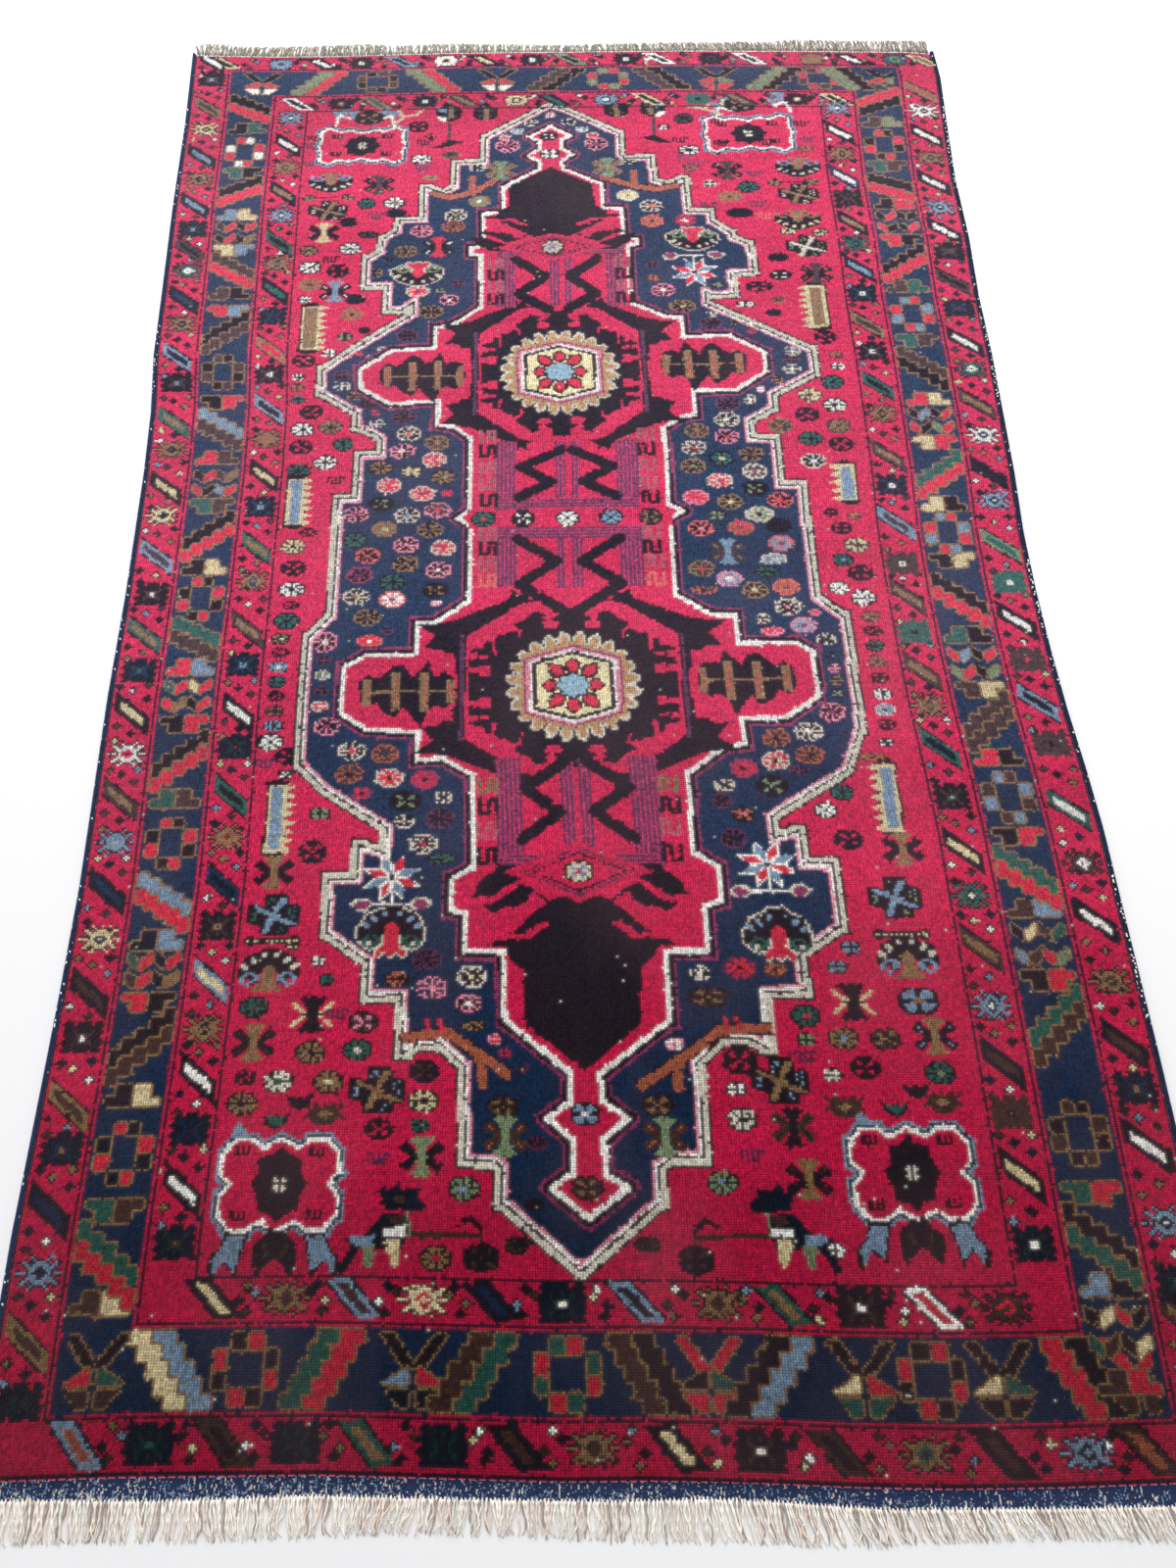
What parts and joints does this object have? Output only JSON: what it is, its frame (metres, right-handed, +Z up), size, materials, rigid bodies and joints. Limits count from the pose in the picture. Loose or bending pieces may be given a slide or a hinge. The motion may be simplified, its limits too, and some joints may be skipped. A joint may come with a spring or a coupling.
{
  "type": "hand-knotted wool rug",
  "caption": "Flat rectangular knotted-pile wool rug with drawn-in long sides, overcast edges, flat-woven end bands and a cut warp fringe at each end.",
  "frame": {"origin": "bottom centre of the whole rug, on the floor", "axes": "+Z up out of the pile, +Y along the warps from the near end to the far end, +X across the rug"},
  "size_m": [1.3022, 2.2686, 0.009],
  "materials": {
    "pile": "cut wool pile, crimson ground with navy, brown, green, camel and cream motifs",
    "selvedge": "overcast navy wool, worn to white flecks",
    "fringe": "twisted undyed cotton warp ends"
  },
  "bodies": {
    "root": {"rug_body": "pile", "selvedge_left": "selvedge", "selvedge_right": "selvedge", "fringe_near": "fringe", "fringe_far": "fringe"}
  },
  "joints": []
}
